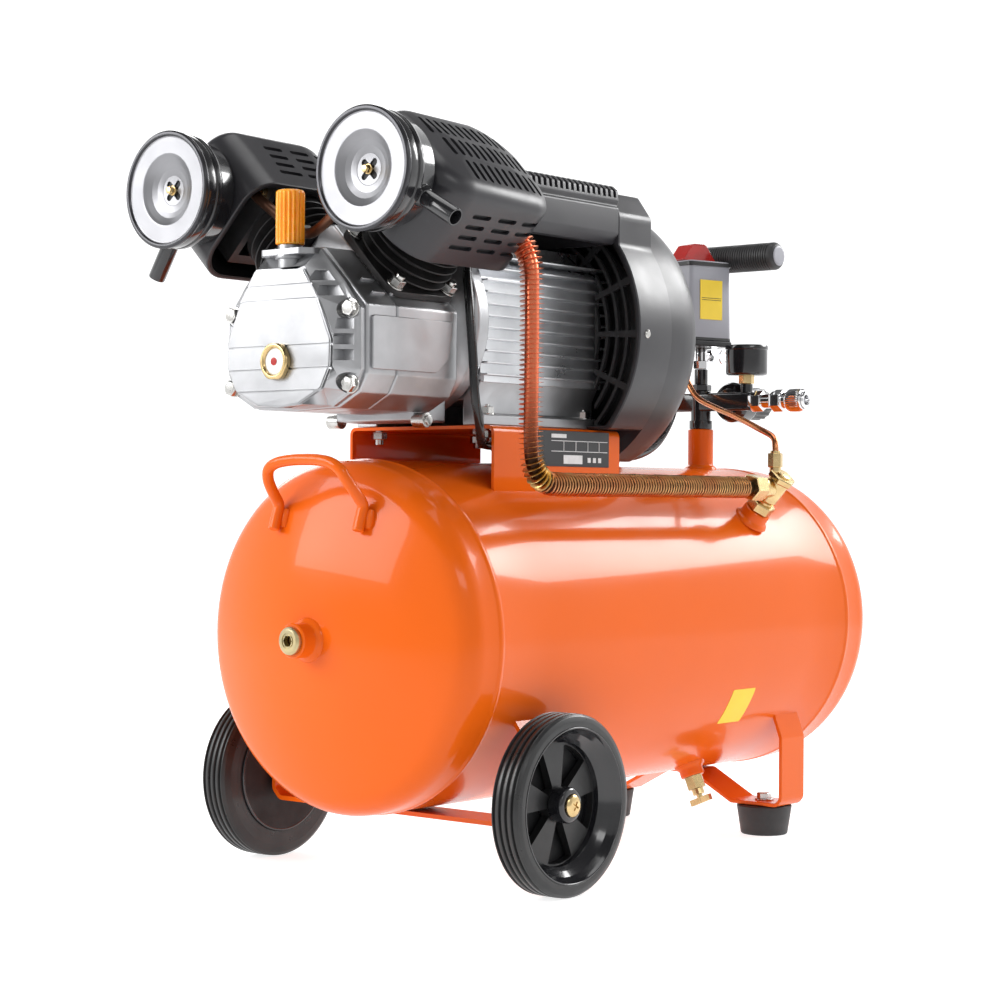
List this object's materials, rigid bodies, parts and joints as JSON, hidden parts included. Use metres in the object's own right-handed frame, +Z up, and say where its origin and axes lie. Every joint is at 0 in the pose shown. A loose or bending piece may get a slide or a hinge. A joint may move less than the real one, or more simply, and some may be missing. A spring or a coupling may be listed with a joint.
{
  "type": "twin stack compressor",
  "caption": "Portable oil-lubricated air compressor: V-twin direct-drive pump, finned motor, fan shroud and horizontal receiver with wheels, regulator, gauge and pressure switch.",
  "frame": {"origin": "centre of the bounding box's underside, on the floor plane", "axes": "+X along the tank from the pump end to the handle end, +Y to the side away from the discharge pipe, +Z up"},
  "size_m": [0.7696, 0.378, 0.6583],
  "materials": {
    "orange_paint": "gloss powder coat",
    "black_paint": "gloss black enamel",
    "charcoal_plastic": "satin charcoal",
    "black_rubber": "matt black",
    "tyre_rubber": "moulded black",
    "alloy": "as-cast and bead-blasted",
    "iron": "blackened",
    "steel": "machined",
    "chrome": "bright plated",
    "brass": "bright turned",
    "copper": "copper-coloured, drawn",
    "red_plastic": "translucent red",
    "amber_plastic": "translucent amber",
    "grey_plastic": "satin grey"
  },
  "bodies": {
    "machine": {"axle_bolt_left": "brass", "axle_bolt_right": "brass", "capacitor_box": "charcoal_plastic", "check_valve": "brass", "con_rod_left": "steel", "con_rod_right": "steel", "coupler_body": "chrome", "crankcase": "alloy", "crankcase_cover": "alloy", "crossover_pipe": "copper", "cylinder_left": "iron", "cylinder_right": "iron", "discharge_pipe": "copper", "drain_valve": "brass", "fan_shroud": "charcoal_plastic", "filter_can_left": "black_paint", "filter_can_right": "black_paint", "filter_lid_left": "grey_plastic", "filter_lid_right": "grey_plastic", "foot_left": "black_rubber", "foot_right": "black_rubber", "front_bracket": "orange_paint", "front_port_plug": "brass", "gauge_case": "black_paint", "grip": "black_rubber", "head_cover_left": "charcoal_plastic", "head_cover_right": "charcoal_plastic", "head_left": "alloy", "head_right": "alloy", "manifold": "black_paint", "motor_bracket": "orange_paint", "motor_cable": "black_rubber", "motor_frame": "alloy", "piston_left": "alloy", "piston_right": "alloy", "push_handle": "orange_paint", "rear_bracket": "orange_paint", "safety_valve": "chrome", "sight_glass": "brass", "stator_core": "copper", "switch_base": "charcoal_plastic", "switch_cover": "grey_plastic", "tank_handle": "orange_paint", "tank_shell": "orange_paint", "unloader_tube": "copper"},
    "wheel_left": {"tyre_left": "tyre_rubber", "hub_left": "black_paint"},
    "wheel_right": {"tyre_right": "tyre_rubber", "hub_right": "black_paint"},
    "drive": {"crankshaft": "steel", "rotor": "steel", "fan": "charcoal_plastic"},
    "switch_button": {"switch_knob": "red_plastic"},
    "regulator": {"regulator_knob": "charcoal_plastic"},
    "pointer": {"gauge_needle": "red_plastic"},
    "quick_sleeve": {"coupler_sleeve": "chrome"},
    "relief_pull": {"safety_pull": "chrome"},
    "drain_spindle": {"drain_tap": "brass"},
    "oil_cap": {"breather_cap": "amber_plastic"}
  },
  "joints": [
    {"name": "wheel_left_spin", "type": "hinge", "parent": "machine", "child": "wheel_left", "pos_m": [-0.18975, -0.1735, 0.078], "axis": [0, 1, 0], "continuous": true},
    {"name": "wheel_right_spin", "type": "hinge", "parent": "machine", "child": "wheel_right", "pos_m": [-0.18975, 0.1735, 0.078], "axis": [0, 1, 0], "continuous": true},
    {"name": "drive_spin", "type": "hinge", "parent": "machine", "child": "drive", "pos_m": [-0.09725, 0, 0.493], "axis": [1, 0, 0], "continuous": true},
    {"name": "switch_pull", "type": "slide", "parent": "machine", "child": "switch_button", "axis": [0, 0, 1], "range_m": [0, 0.008]},
    {"name": "regulator_turn", "type": "hinge", "parent": "machine", "child": "regulator", "pos_m": [0.31275, -0.033, 0.44], "axis": [1, 0, 0], "range_deg": [0, 720]},
    {"name": "gauge_sweep", "type": "hinge", "parent": "machine", "child": "pointer", "pos_m": [0.26675, -0.057, 0.493], "axis": [0, 0, -1], "range_deg": [0, 270]},
    {"name": "sleeve_slide", "type": "slide", "parent": "machine", "child": "quick_sleeve", "axis": [0, 1, 0], "range_m": [0, 0.006], "stiffness_N_per_m": 1500},
    {"name": "relief_slide", "type": "slide", "parent": "machine", "child": "relief_pull", "axis": [1, 0, 0], "range_m": [0, 0.006], "stiffness_N_per_m": 400},
    {"name": "drain_turn", "type": "hinge", "parent": "machine", "child": "drain_spindle", "pos_m": [0.16275, -0.06056, 0.07282], "axis": [0, -0.3907, -0.9205], "range_deg": [0, 360]},
    {"name": "oil_cap_lift", "type": "slide", "parent": "machine", "child": "oil_cap", "axis": [0, 0, 1], "range_m": [0, 0.06]}
  ]
}
